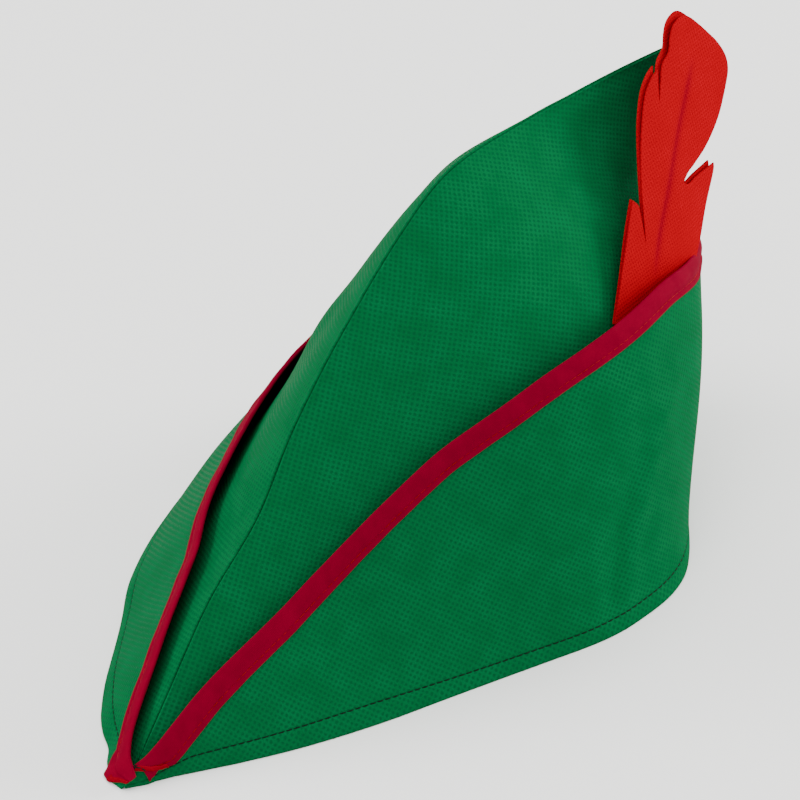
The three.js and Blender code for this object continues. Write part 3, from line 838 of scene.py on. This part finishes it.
def pit_lattice(f, cut, pitch):
    """The hot points' slanting lattice: 1 in the middle of each and 0 between them, a little uneven."""
    drift = add(f, "ShaderNodeTexNoise", {"Scale": per_mm(2.38), "Detail": 1.5}, {"Vector": cut})
    centre = add(f, "ShaderNodeVectorMath", {"operation": "SUBTRACT", 1: (0.5, 0.5, 0.5)},
                 {0: drift.outputs["Color"]})
    sway = add(f, "ShaderNodeVectorMath", {"operation": "SCALE", "Scale": 0.7 * MM},
               {0: centre.outputs["Vector"]})
    moved = add(f, "ShaderNodeVectorMath", {"operation": "ADD"}, {0: cut, 1: sway.outputs["Vector"]})
    lattice = add(f, "ShaderNodeMapping", {"Rotation": (0, 0, math.radians(45)),
                                          "Scale": (per_mm(pitch), per_mm(pitch), 0)},
                  {"Vector": moved.outputs["Vector"]})
    share = add(f, "ShaderNodeVectorMath", {"operation": "FRACTION"}, {0: lattice.outputs["Vector"]})
    off = add(f, "ShaderNodeVectorMath", {"operation": "SUBTRACT", 1: (0.5, 0.5, 0.0)},
              {0: share.outputs["Vector"]})
    away = add(f, "ShaderNodeVectorMath", {"operation": "LENGTH"}, {0: off.outputs["Vector"]})
    pits = add(f, "ShaderNodeMapRange", {"interpolation_type": "SMOOTHSTEP", "From Min": 0.1,
                                        "From Max": 0.5, "To Min": 1.0, "To Max": 0.0},
               {"Value": away.outputs["Value"]})
    return pits.outputs["Result"]


def embossed_cloth(name, mid, pale, pit_shade, pitch, gloss, pressed=None):
    """Spun-bonded polypropylene cloth, laid as a web of fibres and pinned by rows of hot points.

    The points are glazed pits on a slanting lattice with painted shade in them, the web between them is
    lighter and dull, and the fibres lie unevenly, so the cloth looks a little cloudy. A pressed rib gets
    painted shade along it."""
    f = new_finish(name)
    cut = add(f, "ShaderNodeUVMap", {"uv_map": "cloth"}).outputs["UV"]
    pits = pit_lattice(f, cut, pitch)
    # The real fibres are 0.03 mm thick; drawn as strands of 0.385 mm so that they show.
    fibres = add(f, "ShaderNodeTexNoise", {"Scale": per_mm(0.385), "Detail": 3.0, "Roughness": 0.6},
                 {"Vector": cut})
    clouds = add(f, "ShaderNodeTexNoise", {"Scale": per_mm(11.1), "Detail": 3.0, "Roughness": 0.55},
                 {"Vector": cut})
    cloudy = add(f, "ShaderNodeMapRange", {"From Min": 0.35, "From Max": 0.65},
                 {"Value": clouds.outputs["Fac"]})
    body = add(f, "ShaderNodeMixRGB", {"Color1": colour(mid), "Color2": colour(pale)},
               {"Fac": cloudy.outputs["Result"]})
    # Painted shade: the pits' colour is darkened as if shaded in their hollows.
    shade = add(f, "ShaderNodeMixRGB", {"Color2": colour(pit_shade)},
                {"Fac": pits, "Color1": body.outputs["Color"]})
    streak = add(f, "ShaderNodeMapRange", {"From Min": 0.3, "From Max": 0.7, "To Min": 0.85, "To Max": 1.15},
                 {"Value": fibres.outputs["Fac"]})
    web = add(f, "ShaderNodeVectorMath", {"operation": "SCALE"},
              {0: shade.outputs["Color"], "Scale": streak.outputs["Result"]})
    last = web.outputs["Vector"]
    # Painted shade along the pressed rib's groove, from the rib mask kept on the mesh.
    if pressed:
        mark = add(f, "ShaderNodeAttribute", {"attribute_name": "pressed"})
        amount = add(f, "ShaderNodeMath", {"operation": "MULTIPLY", 1: 0.6}, {0: mark.outputs["Fac"]})
        rib = add(f, "ShaderNodeMixRGB", {"Color2": colour(pressed)},
                  {"Fac": amount.outputs["Value"], "Color1": last})
        last = rib.outputs["Color"]
    glaze = add(f, "ShaderNodeMapRange", {"To Min": 0.85, "To Max": 0.5}, {"Value": pits})
    deep = add(f, "ShaderNodeMath", {"operation": "MULTIPLY", 1: -1.0}, {0: pits})
    fuzz = add(f, "ShaderNodeMath", {"operation": "MULTIPLY_ADD", 1: 0.35},
               {0: fibres.outputs["Fac"], 2: deep.outputs["Value"]})
    bump = add(f, "ShaderNodeBump", {"Strength": 0.8, "Distance": 0.1 * MM},
               {"Height": fuzz.outputs["Value"]})
    shader = add(f, "ShaderNodeBsdfPrincipled", {"IOR": 1.49, "Specular IOR Level": gloss},
                 {"Base Color": last, "Roughness": glaze.outputs["Result"], "Normal": bump.outputs["Normal"]})
    add(f, "ShaderNodeOutputMaterial", {}, {"Surface": shader.outputs["BSDF"]})
    return f


def woven_tape(name, mid, dark):
    """Polyester bias tape: a close plain weave pressed flat, even in colour and nearly without shine."""
    f = new_finish(name)
    cut = add(f, "ShaderNodeUVMap", {"uv_map": "cloth"}).outputs["UV"]
    # The real threads are 0.15 mm apart; drawn at 0.45 mm so that they show. A wave of scale 1 repeats at
    # 2 pi / 20.
    warp, weft = (add(f, "ShaderNodeTexWave",
                      {"wave_type": "BANDS", "bands_direction": way, "Distortion": 0.6, "Detail": 1.0,
                       "Scale": 2 * math.pi / 20 * per_mm(0.45)}, {"Vector": cut}) for way in "YX")
    weave = add(f, "ShaderNodeMath", {"operation": "MULTIPLY"},
                {0: warp.outputs["Fac"], 1: weft.outputs["Fac"]})
    clouds = add(f, "ShaderNodeTexNoise", {"Scale": per_mm(4.55), "Detail": 2.0}, {"Vector": cut})
    both = add(f, "ShaderNodeMath", {"operation": "MULTIPLY_ADD", 1: 0.5},
               {0: weave.outputs["Value"], 2: clouds.outputs["Fac"]})
    spread = add(f, "ShaderNodeMapRange", {"From Min": 0.35, "From Max": 0.95},
                 {"Value": both.outputs["Value"]})
    shade = add(f, "ShaderNodeMixRGB", {"Color1": colour(dark), "Color2": colour(mid)},
                {"Fac": spread.outputs["Result"]})
    bump = add(f, "ShaderNodeBump", {"Strength": 0.5, "Distance": 0.1 * MM},
               {"Height": both.outputs["Value"]})
    shader = add(f, "ShaderNodeBsdfPrincipled", {"Roughness": 0.8, "IOR": 1.5, "Specular IOR Level": 0.01},
                 {"Base Color": shade.outputs["Color"], "Normal": bump.outputs["Normal"]})
    add(f, "ShaderNodeOutputMaterial", {}, {"Surface": shader.outputs["BSDF"]})
    return f


def sewing_thread(name, mid, dark):
    """Spun polyester thread: twisted plies with painted shade in the grooves between them, dull with a faint
    shine on the twist.
    """
    f = new_finish(name)
    place = add(f, "ShaderNodeTexCoord")
    # The real twist repeats at 0.2 mm; drawn at 0.417 mm so that it shows.
    twist = add(f, "ShaderNodeTexNoise", {"Scale": per_mm(0.417), "Detail": 2.0},
                {"Vector": place.outputs["Object"]})
    # The dark colour is painted shade in the grooves between the plies.
    shade = add(f, "ShaderNodeMixRGB", {"Color1": colour(dark), "Color2": colour(mid)},
                {"Fac": twist.outputs["Fac"]})
    bump = add(f, "ShaderNodeBump", {"Strength": 0.4, "Distance": 0.1 * MM}, {"Height": twist.outputs["Fac"]})
    shader = add(f, "ShaderNodeBsdfPrincipled", {"Roughness": 0.8, "IOR": 1.5, "Specular IOR Level": 0.08},
                 {"Base Color": shade.outputs["Color"], "Normal": bump.outputs["Normal"]})
    add(f, "ShaderNodeOutputMaterial", {}, {"Surface": shader.outputs["BSDF"]})
    return f


def matt_paper(name, mid):
    """Matt white studio paper: pressed wood fibre with a fine grain and no shine to speak of."""
    f = new_finish(name)
    place = add(f, "ShaderNodeTexCoord")
    grain = add(f, "ShaderNodeTexNoise", {"Scale": per_mm(1.11), "Detail": 2.0},
                {"Vector": place.outputs["Object"]})
    bump = add(f, "ShaderNodeBump", {"Strength": 0.05, "Distance": 0.1 * MM},
               {"Height": grain.outputs["Fac"]})
    shader = add(f, "ShaderNodeBsdfPrincipled", {"Roughness": 0.9, "Base Color": colour(mid)},
                 {"Normal": bump.outputs["Normal"]})
    add(f, "ShaderNodeOutputMaterial", {}, {"Surface": shader.outputs["BSDF"]})
    return f


# The camera: turned, raised and rolled in degrees, where it looks and how far off it is in millimetres, and
# its lens.
CAMERA_TURN = 34.07
CAMERA_RISE = 35.97
CAMERA_ROLL = 1.09
CAMERA_AIM = (5.3, -6.1, 70.0)
CAMERA_FAR = 1770
CAMERA_LENS = 259.7


def set_camera():
    """The photograph's view: high, from the tip's left, far off with a long lens."""
    turn, rise, roll = (math.radians(x) for x in (CAMERA_TURN, CAMERA_RISE, CAMERA_ROLL))
    side = Vector((math.cos(turn), math.sin(turn), 0))
    up = Vector((-math.sin(turn) * math.sin(rise), math.cos(turn) * math.sin(rise), math.cos(rise)))
    ahead = Vector((-math.sin(turn) * math.cos(rise), math.cos(turn) * math.cos(rise), -math.sin(rise)))
    x = side * math.cos(roll) - up * math.sin(roll)
    y = side * math.sin(roll) + up * math.cos(roll)
    data = bpy.data.cameras.new("camera")
    data.lens, data.sensor_width, data.clip_end = CAMERA_LENS, 36.0, 50.0
    camera = bpy.data.objects.new("camera", data)
    bpy.context.scene.collection.objects.link(camera)
    turned = Matrix((x, y, -ahead)).transposed().to_4x4()
    camera.matrix_world = Matrix.Translation((Vector(CAMERA_AIM) - ahead * CAMERA_FAR) * MM) @ turned
    bpy.context.scene.camera = camera


# The lamps: where they are in metres, how wide, and their watts.
LAMPS = [
    ("right_lamp", (0.95, 1.2, 0.5), 0.7, 29), ("front_lamp", (0.3, -1.5, 0.9), 0.9, 7),
    ("left_lamp", (-1.2, -0.7, 0.7), 0.8, 20), ("top_lamp", (0.1, 0.3, 1.5), 1.2, 23),
]
LAMPS_AIM = (0, 0, 0.05)


def soft_box(name, place, size, power):
    """A wide soft lamp, as in a light tent."""
    data = bpy.data.lights.new(name, "AREA")
    data.shape, data.size, data.size_y, data.energy = "RECTANGLE", size, size, power
    lamp = bpy.data.objects.new(name, data)
    lamp.location = place
    lamp.rotation_euler = (Vector(LAMPS_AIM) - Vector(place)).to_track_quat("-Z", "Y").to_euler()
    bpy.context.scene.collection.objects.link(lamp)


def set_studio(paper):
    """A plain pale floor in even white light, with four soft lamps."""
    mesh = bpy.data.meshes.new("floor")
    mesh.from_pydata([(-3, -3, 0), (3, -3, 0), (3, 3, 0), (-3, 3, 0)], [], [(0, 1, 2, 3)])
    mesh.materials.append(paper)
    floor = bpy.data.objects.new("floor", mesh)
    bpy.context.scene.collection.objects.link(floor)
    sky = bpy.data.worlds.new("light_tent")
    sky.use_nodes = True
    light = sky.node_tree.nodes["Background"]
    light.inputs["Color"].default_value = colour("#FFFFFF")
    light.inputs["Strength"].default_value = 1.0
    bpy.context.scene.world = sky
    for lamp in LAMPS:
        soft_box(*lamp)


set_camera()
set_studio(matt_paper("matt_paper", "#F4F4F2"))

# Each cloth's third colour is the painted shade in its pits, and the scarlet's rib colour is painted shade
# along the rib.
green = embossed_cloth("green_spun_bonded_cloth", "#005029", "#03572F", "#004726", PIT_PITCH, 0.01)
scarlet = embossed_cloth("scarlet_spun_bonded_cloth", "#8E0010", "#930011", "#83000E", FEATHER_PIT_PITCH, 0.0,
                         pressed="#5A0618")
crimson = woven_tape("crimson_bias_tape", "#70001E", "#64001A")
# The turned tape end's brighter red is a painted highlight on its fold.
highlit_end_red = woven_tape("tape_end_painted_highlight", "#7C0016", "#6E0012")
# Each thread's second colour is the painted shade in the grooves between its plies.
dark_thread = sewing_thread("dark_green_thread", "#0C1610", "#070E09")
bright_thread = sewing_thread("red_thread", "#9C1212", "#770B0B")


def flat_facts(cut):
    """The sides and the area of a panel's cut, in metres and square metres."""
    size = (cut.reshape(-1, 2).max(0) - cut.reshape(-1, 2).min(0)) * MM
    a, b = cut[1:, 1:] - cut[:-1, :-1], cut[:-1, 1:] - cut[1:, :-1]
    area = float(np.sum(np.abs(a[..., 0] * b[..., 1] - a[..., 1] * b[..., 0])) / 2) * MM * MM
    return tuple(float(x) for x in size), area


for side in (left, right):
    crown, crown_cut = crown_cloth(side, green)
    cuff, cuff_cut = cuff_cloth(side, green)
    tape, tape_cut = binding(side, crimson)
    hem = hem_stitches(side, dark_thread)
    seam = binding_stitches(side, bright_thread)
    ends = turned_end(side, highlit_end_red, crimson)
    if side is left:
        ends.append(tip_knot(dark_thread))
    for piece, cut, node, held, rests, going in (
            (crown, crown_cut, "crown_", "stretched", [], []),
            (cuff, cuff_cut, "cuff_", "folded", [crown], [hem]),
            (tape, tape_cut, "binding_", "folded", [cuff], [seam] + ends)):
        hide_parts(node + side["name"])
        size, area = flat_facts(cut)

for name, shift, depth, seed in (("front", 0.0, -0.35, 0.0), ("back", 1.3 * LAYER_SHIFT, -1.05, 0.6)):
    layer, size, area = feather_layer("feather_cloth_" + name, shift, depth, seed, scarlet)
    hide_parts("feather_" + name)
